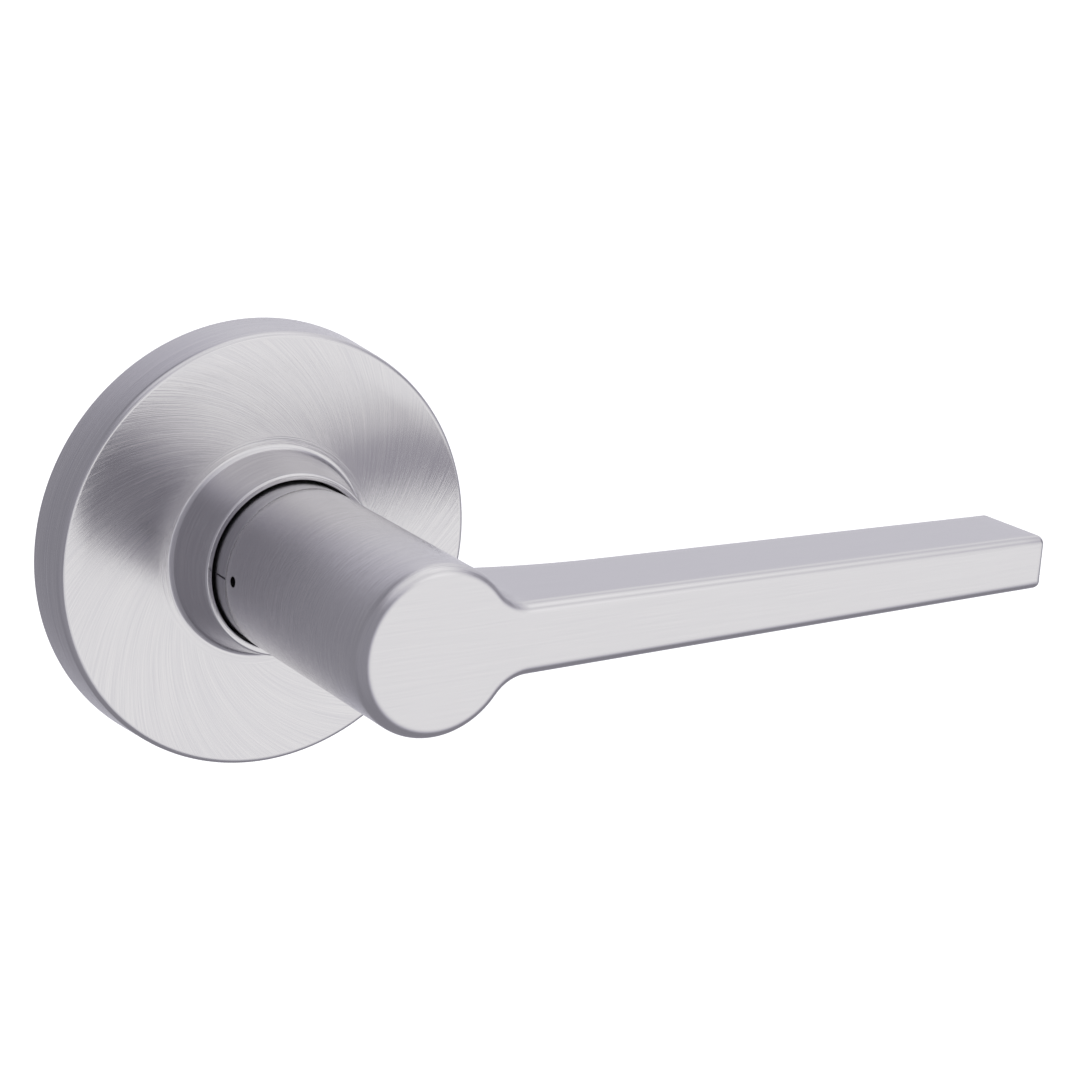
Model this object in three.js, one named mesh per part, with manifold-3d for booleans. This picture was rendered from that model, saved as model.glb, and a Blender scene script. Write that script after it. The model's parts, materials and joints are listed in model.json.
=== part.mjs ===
// One half of a tubular passage lever set: lever, rose and the mechanism behind the rose.
// Millimetres, +Z up. The door face is the plane y = 0, the room is towards -Y and the arm points along +X.
// The spindle axis is the Y axis. "Out" is the distance from the door face towards the room, so y = -out,
// and what lies inside the door has a negative out.
import * as THREE from "three";
import { mergeVertices } from "three/addons/utils/BufferGeometryUtils.js";
import Module from "manifold-3d";

const wasm = await Module();
wasm.setup();

// ---- driving dimensions ----
const wideSteps = 60; // facets round the rose and the plate
const roundSteps = 48; // facets round a turned piece
const smallSteps = 16; // facets round a post, pin or small hole
const rivetSteps = 12;
const filletSteps = 4; // facets over a rounded edge
const facetDegrees = 7; // of a piece cut from a ring
const runningGap = 0.15; // between a turning piece and the piece that guides it
const seatGap = 0.1; // between pieces that rest on each other

const hubRearRadius = 12.65;
const hubTaper = 0.4; // the hub is this much thinner at its front
const hubFrontOut = 58.65; // the whole projection from the door
const hubFrontWall = 11.65; // solid metal in front of the blind bore
const seamOut = 18.8; // rear end of the lever, where the sleeve shows
const edgeFillet = 2; // round the front face of hub and arm
const sleeveRecess = 0.12; // the sleeve lies this much below the hub
const spigotLength = 8.5; // of the sleeve, inside the lever

const armReach = 109.05; // spindle axis to the tip
const armRootHalfHeight = 5.2; // at armRootX
const armTipHalfHeight = 4.3;
const armRootX = 20;
const armRootDepth = 16.15; // front to back, at armRootX
const armTipDepth = 13.95;
const armFlare = 1.05; // how much deeper the arm is at armRootX than its straight back would be
const armFlareEndX = 34;
const armStartX = 2; // the arm starts inside the hub
const armBackInside = 2; // its back runs this far into the hub
const armBlendRadius = 6; // concave blend from hub to arm
const tipFillet = 2.5;
const insideHub = 0.06; // keeps the arm's copy of the hub's outline below the hub's own facets

const roseRadius = 33.35; // at the front edge of the rim
const roseDepth = 8.3; // rim height, door face to front edge
const roseDraft = 0.6; // how much wider the rim is at the door
const roseDish = 0.65; // how much lower the face lies at the collar
const roseDishMiddle = 0.75; // share of that reached halfway in
const roseWall = 1;
const roseEdgeFillet = 0.9;
const collarOut = 15.4;
const collarGap = 0.37; // from the sleeve to the collar's lip
const collarTaper = 1.9; // how much wider the collar is at its foot
const collarBaseFillet = 0.9;
const collarBushDrop = 2.6; // from the lip down to the bush's rim
const collarBushFootThickness = 1.1;

const tubeOuterRadius = 8.4;
const tubeWall = 1.8;
const tubeFlatDepth = 0.8;
const tubeEndPlay = 3; // to the bottom of the lever's bore
const tubeShoulderHeight = 2.6;
const tubeShoulderWidth = 1;
const tubeTail = 1.5; // behind the circlip

const plateThickness = 1.6;
const plateToRim = 1.75; // from the plate's edge to the inside of the rim
const bushWall = 1.4;
const bushFlangeHeight = 3.4;
const bushFlangeThickness = 0.9;
const bushTail = 0.9; // behind the plate
const washerRoom = 0.8; // for the wave washer
const washerSheet = 0.25;
const thrustWasherHeight = 3;
const thrustWasherThickness = 0.8;
const circlipHeight = 1.6;
const circlipThickness = 0.9;
const circlipGapHalf = 14; // degrees
const grooveDepth = 0.9;

const springWire = 1.6;
const springInnerPlay = 2.6; // from the drive tube to the coil
const springTurns = 3;
const springCoilGap = 0.2;
const springLegPlay = 1; // degrees between a leg and the tabs
const springFrontGap = 0.7; // plate to coil
const springBackGap = 0.5; // coil to cam plate
const tabHalfAngle = 12; // degrees, both spring tabs
const tabThickness = 1.4;
const tabGap = 0.35;
const camThickness = 1.5;
const camEdge = 1.4; // cam plate beyond the coil
const camFloorGap = 0.3;
const stopTravel = 45; // degrees each way
const stopPlay = 1.5; // degrees left between tab and lug at the end of the travel
const stopTabHalfAngle = 9;
const stopLugHalfAngle = 4;
const stopOverlap = 1.6; // how far tab and lug overlap radially

const housingWall = 1;
const housingPlay = 0.8; // from the stop tab to the wall
const housingFlangeWidth = 4.6;
const rivetShankRadius = 1.2;
const rivetHeadRadius = 2.1;
const rivetHeadHeight = 0.9;
const rivetCount = 4;

const clipCount = 3;
const clipWidth = 6;
const clipSheet = 0.6;
const clipHeight = 2.6;
const clipPlay = 0.4; // to the inside of the rim
const clipRivetInset = 3.4; // from the plate's edge

const postSpacing = 38.1;
const postOuterRadius = 3.6;
const postThreadRadius = 2.2;
const postNeckRadius = 2.9;
const postHeadHeight = 0.8;
const postLength = 20;
const postClearance = 0.3;

const spindleWidth = 7; // square bar
const spindleReach = 42; // behind the door's face
const spindleInTube = 4; // in front of it
const spindleChamfer = 1;
const plugLength = 13;
const spindlePinRadius = 1;
const spindlePinDepth = 6; // behind the door's face

const releaseOut = 21.4; // release hole and catch
const releaseAngle = 176.5; // degrees from +X towards +Z
const releaseHoleRadius = 0.8;
const catchRadius = 1.8;
const catchHeadRadius = 2.9;
const catchHeadHeight = 1;
const catchNoseChamfer = 0.5;
const catchSpringWire = 0.45;
const catchSpringRadius = 2;
const catchSpringTurns = 6;

// ---- sizes that follow ----
const hubFrontRadius = hubRearRadius - hubTaper;
const sleeveRadius = hubRearRadius - sleeveRecess;
const collarInner = sleeveRadius + collarGap;
const collarLipRadius = collarInner + roseWall;
const collarBaseRadius = collarLipRadius + collarTaper;
const faceAtCollar = roseDepth - roseDish;
const roseFaceRadius = roseRadius - roseEdgeFillet;

const leverBore = tubeOuterRadius + runningGap;
const spigotRadius = (leverBore + hubRearRadius) / 2; // shares the metal between sleeve and lever
const boreEndOut = hubFrontOut - hubFrontWall;
const tubeFrontOut = boreEndOut - tubeEndPlay;
const tubeInnerRadius = tubeOuterRadius - tubeWall;
const tubeFlatHalf = tubeOuterRadius - tubeFlatDepth; // half of the width over its flats

const plateRadius = roseRadius - roseWall - plateToRim;
const clipRear = plateThickness + seatGap;
const bushInner = tubeOuterRadius + runningGap;
const bushFlangeRear = plateThickness + seatGap;
const bushFront = bushFlangeRear + bushFlangeThickness;
const shoulderRear = bushFront + washerRoom;
const shoulderFront = shoulderRear + tubeShoulderWidth;

// Radii outwards from the drive tube: coil, cam plate, the moving tab, the fixed tab, the stop tab, the cup.
const postX = postSpacing / 2;
const camRoom = postX - postOuterRadius - postClearance; // between the posts
const springMeanRadius =
  Math.min(tubeOuterRadius + springInnerPlay, camRoom - camEdge - springWire) + springWire / 2;
const camRadius = springMeanRadius + springWire / 2 + camEdge;
const camTabInner = camRadius + tabGap;
const camTabOuter = camTabInner + tabThickness;
const fixedTabInner = camTabOuter + tabGap;
const fixedTabOuter = fixedTabInner + tabThickness;
const springLegEnd = fixedTabOuter + tabGap;
const stopTabRadius = springLegEnd + tabGap;
const housingInner = stopTabRadius + housingPlay;
const housingRadius = housingInner + housingWall;
const housingFlangeRadius = housingRadius + housingFlangeWidth;
const rivetCircle = housingRadius + housingFlangeWidth / 2;

// Depths behind the plate: coil, cam plate, floor of the cup, washer, circlip, end of the tube.
const legHalfAngle = tabHalfAngle + springLegPlay + THREE.MathUtils.radToDeg(springWire / 2 / camTabInner);
const springSweep = springTurns * 360 + 2 * legHalfAngle; // degrees of coil
const springRise = (springSweep / 360) * (springWire + springCoilGap);
const camFront = -(springFrontGap + springWire + springRise + springBackGap);
const camRear = camFront - camThickness;
const housingFloorInner = camRear - camFloorGap;
const housingFloor = housingFloorInner - housingWall;
const flangeRear = -seatGap - housingWall;
const thrustWasherRear = housingFloor - seatGap - thrustWasherThickness;
const circlipFront = thrustWasherRear - seatGap;
const circlipRear = circlipFront - circlipThickness;
const tubeRearOut = circlipRear - tubeTail;

const springTop = 90; // degrees, where the legs of the return spring stand
const stopBottom = springTop + 180;
const clipRivetCircle = plateRadius - clipRivetInset;
const clipAngles = Array.from({ length: clipCount }, (_, i) => springTop + (360 / clipCount) * i);
const rivetAngles = Array.from({ length: rivetCount }, (_, i) => 45 + (360 / rivetCount) * i);

// ---- solids ----
const toRadians = (degrees) => (degrees * Math.PI) / 180;
const polar = (radius, degrees) => [
  radius * Math.cos(toRadians(degrees)),
  radius * Math.sin(toRadians(degrees)),
];

// A closed geometry as a solid that can be joined and cut.
function solid(geometry) {
  const bare = geometry.index ? geometry.toNonIndexed() : geometry.clone();
  bare.deleteAttribute("normal");
  bare.deleteAttribute("uv");
  const merged = mergeVertices(bare, 1e-4);
  const made = new wasm.Manifold(
    new wasm.Mesh({
      numProp: 3,
      vertProperties: merged.attributes.position.array,
      triVerts: new Uint32Array(merged.index.array),
    }),
  );
  if (made.volume() > 0) return made;
  const flipped = new Uint32Array(merged.index.array);
  for (let i = 0; i < flipped.length; i += 3) {
    [flipped[i + 1], flipped[i + 2]] = [flipped[i + 2], flipped[i + 1]];
  }
  return new wasm.Manifold(
    new wasm.Mesh({ numProp: 3, vertProperties: merged.attributes.position.array, triVerts: flipped }),
  );
}

function geometryOf(made) {
  const mesh = made.getMesh();
  const position = new Float32Array(mesh.numVert * 3);
  for (let i = 0; i < mesh.numVert; i++) {
    for (let k = 0; k < 3; k++) position[3 * i + k] = mesh.vertProperties[i * mesh.numProp + k];
  }
  const geometry = new THREE.BufferGeometry();
  geometry.setAttribute("position", new THREE.BufferAttribute(position, 3));
  geometry.setIndex(new THREE.BufferAttribute(new Uint32Array(mesh.triVerts), 1));
  geometry.computeVertexNormals();
  return geometry;
}

// Turned about the spindle axis from [radius, out] points. A profile off the axis is closed on itself.
function turned(profile, steps = roundSteps) {
  const points = profile.map(([radius, out]) => new THREE.Vector2(radius, -out));
  if (profile[0][0] > 0) points.push(points[0].clone());
  return solid(new THREE.LatheGeometry(points, steps));
}

const disc = (radius, rear, front, steps = roundSteps) =>
  turned([[0, rear], [radius, rear], [radius, front], [0, front]], steps);

const ring = (inner, outer, rear, front, steps = roundSteps) =>
  turned([[inner, rear], [outer, rear], [outer, front], [inner, front]], steps);

// Outline in the door's plane (x, z), pulled from rear to front.
function pulled(points, rear, front) {
  const shape = new THREE.Shape(points.map(([x, z]) => new THREE.Vector2(x, z)));
  const geometry = new THREE.ExtrudeGeometry(shape, { depth: front - rear, bevelEnabled: false });
  geometry.rotateX(Math.PI / 2); // the outline's y becomes z, its depth runs towards -Y
  geometry.translate(0, -rear, 0);
  return solid(geometry);
}

function box(xLow, xHigh, rear, front, zLow, zHigh) {
  const geometry = new THREE.BoxGeometry(xHigh - xLow, front - rear, zHigh - zLow);
  geometry.translate((xLow + xHigh) / 2, -(rear + front) / 2, (zLow + zHigh) / 2);
  return solid(geometry);
}

// Points on an arc, both ends included.
function arc(centreX, centreY, radius, from, to, steps) {
  return Array.from({ length: steps + 1 }, (_, i) => {
    const [x, y] = polar(radius, from + ((to - from) * i) / steps);
    return [centreX + x, centreY + y];
  });
}

// A piece of a ring between two angles.
function sector(inner, outer, from, to, rear, front) {
  const steps = Math.max(2, Math.round((to - from) / facetDegrees));
  const outline = [...arc(0, 0, outer, from, to, steps), ...arc(0, 0, inner, to, from, steps)];
  return pulled(outline, rear, front);
}

// A round bar along a direction in the door's plane, between two distances from the spindle axis.
function radialBar(radius, from, to, degrees, out, steps = smallSteps) {
  const geometry = new THREE.CylinderGeometry(radius, radius, to - from, steps);
  geometry.rotateZ(-Math.PI / 2); // along +X
  geometry.translate((from + to) / 2, 0, 0);
  geometry.rotateY(-toRadians(degrees));
  geometry.translate(0, -out, 0);
  return solid(geometry);
}

// A wire of round section along a curve.
function wire(curve, diameter, steps, sides = 8) {
  const section = new THREE.Shape(
    arc(0, 0, diameter / 2, 0, 360, sides).slice(0, -1).map(([x, y]) => new THREE.Vector2(x, y)),
  );
  return solid(new THREE.ExtrudeGeometry(section, { steps, extrudePath: curve, bevelEnabled: false }));
}

const place = (made, x, y, z) => made.translate([x, y, z]);

// ---- materials ----
const finish = (color, metalness, roughness) =>
  new THREE.MeshStandardMaterial({ color, metalness, roughness });
const satinChrome = finish(0xb9b8bc, 1, 0.35);
const sleeveChrome = finish(0xa9a8ad, 1, 0.4);
const zincSteel = finish(0xa8a9a4, 1, 0.45);
const springSteel = finish(0x6f6f72, 1, 0.35);
const nylon = finish(0x232326, 0, 0.55);
const castZinc = finish(0x8f9092, 1, 0.5);

const group = new THREE.Group();

function add(name, made, material) {
  const mesh = new THREE.Mesh(geometryOf(made), material);
  mesh.name = name;
  group.add(mesh);
}

// ---- rose ----
function makeRose() {
  const rimTop = roseDepth - roseEdgeFillet;
  const fold = collarBaseRadius + collarBaseFillet;
  const faceMiddle = (roseFaceRadius + fold) / 2;
  const middleOut = roseDepth - roseDish * roseDishMiddle;
  const outside = [
    [roseRadius + roseDraft, 0],
    ...arc(roseFaceRadius, rimTop, roseEdgeFillet, 0, 90, filletSteps),
    [faceMiddle, middleOut],
    ...arc(fold, faceAtCollar + collarBaseFillet, collarBaseFillet, 270, 187, filletSteps),
    ...arc(collarLipRadius - roseWall / 2, collarOut - roseWall / 2, roseWall / 2, 0, 180, filletSteps),
  ];
  const inside = [
    [collarBaseRadius - roseWall, faceAtCollar],
    [fold - roseWall / 2, faceAtCollar - roseWall],
    [faceMiddle, middleOut - roseWall],
    [roseFaceRadius, roseDepth - roseWall],
    [roseRadius - roseWall, rimTop - roseWall / 2],
    [roseRadius + roseDraft - roseWall, 0],
  ];
  return turned([...outside, ...inside], wideSteps);
}
add("rose", makeRose(), satinChrome);

// Nylon ring inside the collar, with a foot under the face of the rose.
function makeCollarBush() {
  const inner = sleeveRadius + runningGap;
  const outer = collarInner + collarGap / 2;
  const top = collarOut - collarBushDrop;
  const foot = faceAtCollar - roseWall - seatGap;
  const footRear = foot - collarBushFootThickness;
  return turned([
    [inner, footRear],
    [collarBaseRadius, footRear],
    [collarBaseRadius, foot],
    [outer, foot],
    [outer, top],
    [inner, top],
  ]);
}
add("collar_bush", makeCollarBush(), nylon);

// ---- support plate with its posts and clips ----
function makePlate() {
  let plate = disc(plateRadius, 0, plateThickness, wideSteps);
  plate = plate.subtract(disc(bushInner + bushWall + seatGap, -1, plateThickness + 1));
  const hole = (radius, x, z) => place(disc(radius, -1, plateThickness + 1, smallSteps), x, 0, z);
  for (const side of [-1, 1]) plate = plate.subtract(hole(postNeckRadius + seatGap, side * postX, 0));
  for (const degrees of rivetAngles) {
    plate = plate.subtract(hole(rivetShankRadius + seatGap, ...polar(rivetCircle, degrees)));
  }
  for (const degrees of clipAngles) {
    plate = plate.subtract(hole(rivetShankRadius + seatGap, ...polar(clipRivetCircle, degrees)));
  }
  const from = springTop - tabHalfAngle;
  const to = springTop + tabHalfAngle;
  const tab = sector(fixedTabInner, fixedTabOuter, from, to, camFront + springBackGap, plateThickness / 2);
  return plate.add(tab);
}
add("support_plate", makePlate(), zincSteel);

// A threaded post: collar against the plate's back, neck staked over in front, bore for the through screw.
function makePost() {
  const neckOut = plateThickness + seatGap;
  const headOut = neckOut + postHeadHeight;
  const profile = [
    [postThreadRadius, -postLength],
    [postOuterRadius, -postLength],
    [postOuterRadius, -seatGap],
    [postNeckRadius, -seatGap],
    [postNeckRadius, neckOut],
    [postNeckRadius + postHeadHeight, neckOut],
    [postNeckRadius + postHeadHeight / 2, headOut],
    [postThreadRadius, headOut],
  ];
  return turned(profile, smallSteps);
}
add("post_left", place(makePost(), -postX, 0, 0), zincSteel);
add("post_right", place(makePost(), postX, 0, 0), zincSteel);

// A rivet through two sheets: its shank, a domed head in front, and one behind unless that end is flush.
function makeRivet(rear, front, flush = false) {
  const crownRadius = rivetHeadRadius / 2;
  const dome = (base, height) => [
    [rivetHeadRadius, base],
    [rivetHeadRadius, base + height / 2],
    [crownRadius, base + height],
    [0, base + height],
  ];
  const rearEnd = flush ? [[0, rear]] : dome(rear, -rivetHeadHeight).reverse();
  const shank = [[rivetShankRadius, rear], [rivetShankRadius, front]];
  return turned([...rearEnd, ...shank, ...dome(front, rivetHeadHeight)], rivetSteps);
}

rivetAngles.forEach((degrees, i) => {
  const [x, z] = polar(rivetCircle, degrees);
  const rivet = makeRivet(flangeRear - seatGap, plateThickness + seatGap);
  add(`housing_rivet_${i + 1}`, place(rivet, x, 0, z), zincSteel);
});

// Leaf springs on the plate. Each one springs out against the inside of the rose's rim.
const rimInnerAt = (out) => roseRadius - roseWall + roseDraft * (1 - out / roseDepth);
function makeClip(degrees) {
  const half = clipWidth / 2;
  const top = clipRear + clipHeight;
  const outer = Math.sqrt((rimInnerAt(top) - clipPlay) ** 2 - half ** 2);
  const inner = clipRivetCircle - rivetHeadRadius - clipSheet;
  const foot = box(inner, outer, clipRear, clipRear + clipSheet, -half, half);
  const leaf = box(outer - clipSheet, outer, clipRear, top, -half, half);
  const hole = disc(rivetShankRadius + seatGap, clipRear - 1, clipRear + 2, smallSteps);
  return foot.add(leaf).subtract(place(hole, clipRivetCircle, 0, 0)).rotate([0, -degrees, 0]);
}
clipAngles.forEach((degrees, i) => {
  const [x, z] = polar(clipRivetCircle, degrees);
  add(`rose_clip_${i + 1}`, makeClip(degrees), springSteel);
  const rivet = makeRivet(seatGap, clipRear + clipSheet + seatGap, true);
  add(`clip_rivet_${i + 1}`, place(rivet, x, 0, z), zincSteel);
});

// ---- spring housing ----
function makeHousing() {
  const front = -seatGap;
  let housing = turned([
    [leverBore, housingFloor],
    [housingRadius, housingFloor],
    [housingRadius, flangeRear],
    [housingFlangeRadius, flangeRear],
    [housingFlangeRadius, front],
    [housingInner, front],
    [housingInner, housingFloorInner],
    [leverBore, housingFloorInner],
  ]);
  for (const degrees of rivetAngles) {
    const hole = disc(rivetShankRadius + seatGap, flangeRear - 1, 1, smallSteps);
    const [x, z] = polar(rivetCircle, degrees);
    housing = housing.subtract(place(hole, x, 0, z));
  }
  const postCut = disc(postOuterRadius + postClearance, housingFloor - 1, 1, smallSteps);
  for (const side of [-1, 1]) housing = housing.subtract(place(postCut, side * postX, 0, 0));
  const lugCentre = stopTravel + stopPlay + stopTabHalfAngle + stopLugHalfAngle;
  for (const side of [-1, 1]) {
    const middle = stopBottom + side * lugCentre;
    const from = middle - stopLugHalfAngle;
    const to = middle + stopLugHalfAngle;
    const inner = stopTabRadius - stopOverlap;
    const outer = housingInner + housingWall / 2;
    housing = housing.add(sector(inner, outer, from, to, housingFloor + housingWall / 2, camFront));
  }
  return housing;
}
add("spring_housing", makeHousing(), zincSteel);

// ---- drive tube, bush, washers ----
const spindlePinHole = (reach) => radialBar(spindlePinRadius + seatGap, -reach, reach, 90, -spindlePinDepth);

function makeTube() {
  const grooveFront = circlipFront + seatGap;
  const grooveRear = circlipRear - seatGap;
  const shoulderRadius = tubeOuterRadius + tubeShoulderHeight;
  let tube = turned([
    [tubeInnerRadius, tubeRearOut],
    [tubeOuterRadius, tubeRearOut],
    [tubeOuterRadius, grooveRear],
    [tubeOuterRadius - grooveDepth, grooveRear],
    [tubeOuterRadius - grooveDepth, grooveFront],
    [tubeOuterRadius, grooveFront],
    [tubeOuterRadius, shoulderRear],
    [shoulderRadius, shoulderRear],
    [shoulderRadius, shoulderFront],
    [tubeOuterRadius, shoulderFront],
    [tubeOuterRadius, tubeFrontOut],
    [tubeInnerRadius, tubeFrontOut],
  ]);
  const wide = tubeOuterRadius + 1;
  for (const side of [-1, 1]) {
    const low = side < 0 ? -wide : tubeFlatHalf;
    const high = side < 0 ? -tubeFlatHalf : wide;
    tube = tube.subtract(box(-wide, wide, shoulderFront + seatGap, tubeFrontOut + 1, low, high));
    tube = tube.subtract(box(low, high, camRear - 2 * seatGap, camFront + 2 * seatGap, -wide, wide));
  }
  const catchHole = radialBar(catchRadius + runningGap, 0, wide, releaseAngle, releaseOut);
  return tube.subtract(spindlePinHole(wide)).subtract(catchHole);
}
add("drive_tube", makeTube(), zincSteel);

function makeBearingBush() {
  const sleeveOuter = bushInner + bushWall;
  const flangeOuter = tubeOuterRadius + bushFlangeHeight;
  return turned([
    [bushInner, -bushTail],
    [sleeveOuter, -bushTail],
    [sleeveOuter, bushFlangeRear],
    [flangeOuter, bushFlangeRear],
    [flangeOuter, bushFront],
    [bushInner, bushFront],
  ]);
}
add("bearing_bush", makeBearingBush(), nylon);

// Spring washer: a thin ring with three waves.
function makeWaveWasher() {
  const inner = tubeOuterRadius + 2 * runningGap;
  const outer = tubeOuterRadius + tubeShoulderHeight - seatGap;
  const room = washerRoom - 2 * seatGap - washerSheet;
  const waves = 3;
  const steps = roundSteps;
  const position = [];
  const index = [];
  for (let i = 0; i < steps; i++) {
    const lift = (room / 2) * (1 + Math.cos((waves * 2 * Math.PI * i) / steps));
    for (const [radius, height] of [[inner, 0], [outer, 0], [outer, washerSheet], [inner, washerSheet]]) {
      const [x, z] = polar(radius, (360 * i) / steps);
      position.push(x, -(bushFront + seatGap + lift + height), z);
    }
    for (let k = 0; k < 4; k++) {
      const a = 4 * i + k;
      const b = 4 * i + ((k + 1) % 4);
      const c = 4 * ((i + 1) % steps) + k;
      const d = 4 * ((i + 1) % steps) + ((k + 1) % 4);
      index.push(a, b, c, b, d, c);
    }
  }
  const geometry = new THREE.BufferGeometry();
  geometry.setAttribute("position", new THREE.Float32BufferAttribute(position, 3));
  geometry.setIndex(index);
  return solid(geometry);
}
add("wave_washer", makeWaveWasher(), springSteel);

const thrustWasherFront = thrustWasherRear + thrustWasherThickness;
const thrustWasherOuter = tubeOuterRadius + thrustWasherHeight;
add("thrust_washer", ring(leverBore, thrustWasherOuter, thrustWasherRear, thrustWasherFront), zincSteel);

// Open ring in the tube's groove, with two ears for the pliers.
function makeCirclip() {
  const inner = tubeOuterRadius - grooveDepth + seatGap;
  const outer = tubeOuterRadius + circlipHeight;
  const earRadius = 1.5;
  const earHole = 0.6;
  const earDegrees = 7; // from the ring's end to the ear
  const from = stopBottom + circlipGapHalf;
  let clip = sector(inner, outer, from, from + 360 - 2 * circlipGapHalf, circlipRear, circlipFront);
  for (const side of [-1, 1]) {
    const [x, z] = polar(outer + earRadius / 4, stopBottom + side * (circlipGapHalf + earDegrees));
    clip = clip.add(place(disc(earRadius, circlipRear, circlipFront, smallSteps), x, 0, z));
    clip = clip.subtract(place(disc(earHole, circlipRear - 1, circlipFront + 1, smallSteps), x, 0, z));
  }
  return clip;
}
add("circlip", makeCirclip(), springSteel);

// ---- cam plate and return spring ----
function makeCamPlate() {
  let cam = disc(camRadius, camRear, camFront);
  const stop = sector(
    camRadius - 1,
    stopTabRadius,
    stopBottom - stopTabHalfAngle,
    stopBottom + stopTabHalfAngle,
    camRear,
    camFront,
  );
  const from = springTop - tabHalfAngle;
  const to = springTop + tabHalfAngle;
  const foot = sector(camRadius - 1, camTabOuter, from, to, camRear, camFront);
  const tab = sector(camTabInner, camTabOuter, from, to, camRear + camThickness / 2, -springFrontGap);
  cam = cam.add(stop).add(foot).add(tab);
  const bore = disc(tubeOuterRadius + seatGap, camRear - 1, camFront + 1);
  const flats = tubeFlatHalf + seatGap;
  const wide = tubeOuterRadius + 1;
  return cam.subtract(bore.intersect(box(-flats, flats, camRear - 2, camFront + 2, -wide, wide)));
}
add("cam_plate", makeCamPlate(), zincSteel);

// The coil, with both ends turned out into straight legs, one each side of the two tabs.
class TorsionSpringCurve extends THREE.Curve {
  getPoint(t) {
    const legLength = springLegEnd - springMeanRadius;
    const coilLength = toRadians(springSweep) * springMeanRadius;
    const total = coilLength + 2 * legLength;
    const rear = camFront + springBackGap + springWire / 2;
    const along = t * total;
    let radius = springMeanRadius;
    let turn = 0;
    if (along < legLength) {
      radius = springLegEnd - along;
    } else if (along > total - legLength) {
      radius = springLegEnd - (total - along);
      turn = 1;
    } else {
      turn = (along - legLength) / coilLength;
    }
    const [x, z] = polar(radius, springTop - legHalfAngle + turn * springSweep);
    return new THREE.Vector3(x, -(rear + springRise * turn), z);
  }
}
add("return_spring", wire(new TorsionSpringCurve(), springWire, 96), springSteel);

// ---- lever ----
const armBack = (x) => {
  const share = (x - armRootX) / (armReach - armRootX);
  const depth = armRootDepth + (armTipDepth - armRootDepth) * share;
  const flare = x < armFlareEndX ? ((armFlareEndX - x) / (armFlareEndX - armRootX)) ** 2 : 0;
  return hubFrontOut - depth - armFlare * flare;
};
// Upper half of the face's outline: just inside the hub, the concave blend, the straight edge to the tip.
function upperOutline() {
  const slope = (armRootHalfHeight - armTipHalfHeight) / (armReach - armRootX);
  const lean = Math.atan(slope);
  // The blend's centre is one blend radius above the edge and one outside the hub.
  const away = hubFrontRadius + armBlendRadius;
  const edgeAtAxis = armRootHalfHeight + slope * armRootX;
  const height = (edgeAtAxis * Math.cos(lean) + armBlendRadius) / away;
  const direction = Math.asin(height) - lean;
  const centre = [away * Math.cos(direction), away * Math.sin(direction)];
  const hubEnd = THREE.MathUtils.radToDeg(direction);
  const blendEnd = 270 - THREE.MathUtils.radToDeg(lean);
  return [
    ...arc(0, 0, hubFrontRadius - insideHub, 180, hubEnd + 3, 14),
    ...arc(...centre, armBlendRadius, hubEnd + 180, blendEnd, 6),
    [armReach, armTipHalfHeight],
  ];
}

function makeArm() {
  const upper = upperOutline();
  const lower = upper.slice(1).map(([x, z]) => [x, -z]).reverse();
  const shape = new THREE.Shape([...upper, ...lower].map(([x, z]) => new THREE.Vector2(x, z)));
  const deep = armRootDepth + 3 * armFlare;
  const geometry = new THREE.ExtrudeGeometry(shape, {
    depth: deep,
    bevelEnabled: true,
    bevelThickness: edgeFillet,
    bevelSize: edgeFillet,
    bevelOffset: -edgeFillet,
    bevelSegments: 3,
  });
  geometry.rotateX(Math.PI / 2);
  geometry.translate(0, -(hubFrontOut - deep - edgeFillet), 0);
  // Seen from above: straight front, tip with a rounded front corner, tapering back with its flare.
  const flareSteps = 4;
  const backEnd = hubRearRadius - armBackInside;
  const side = [
    [armStartX, hubFrontOut + 1],
    [armReach - tipFillet, hubFrontOut + 1],
    ...arc(armReach - tipFillet, hubFrontOut - tipFillet, tipFillet, 90, 0, filletSteps),
    [armReach, armBack(armReach)],
  ];
  for (let i = 0; i <= flareSteps; i++) {
    const x = armFlareEndX + ((backEnd - armFlareEndX) * i) / flareSteps;
    side.push([x, armBack(x)]);
  }
  side.push([armStartX, armBack(backEnd)]);
  const plan = new THREE.Shape(side.map(([x, out]) => new THREE.Vector2(x, -out)));
  const tall = 2 * hubRearRadius;
  const limits = new THREE.ExtrudeGeometry(plan, { depth: tall, bevelEnabled: false });
  limits.translate(0, 0, -tall / 2);
  return solid(geometry).intersect(solid(limits));
}

function makeLever() {
  const front = hubFrontOut - edgeFillet;
  const hub = turned([
    [0, seamOut],
    [hubRearRadius, seamOut],
    ...arc(hubFrontRadius - edgeFillet, front, edgeFillet, 0, 90, filletSteps),
    [0, hubFrontOut],
  ]);
  const counterbore = disc(spigotRadius + seatGap, seamOut - 1, seamOut + spigotLength + seatGap);
  const bore = disc(leverBore, seamOut, boreEndOut);
  const outside = hubRearRadius + 1;
  const release = radialBar(releaseHoleRadius, spigotRadius - 1, outside, releaseAngle, releaseOut);
  return hub.add(makeArm()).subtract(counterbore).subtract(bore).subtract(release);
}
add("lever", makeLever(), satinChrome);

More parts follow.
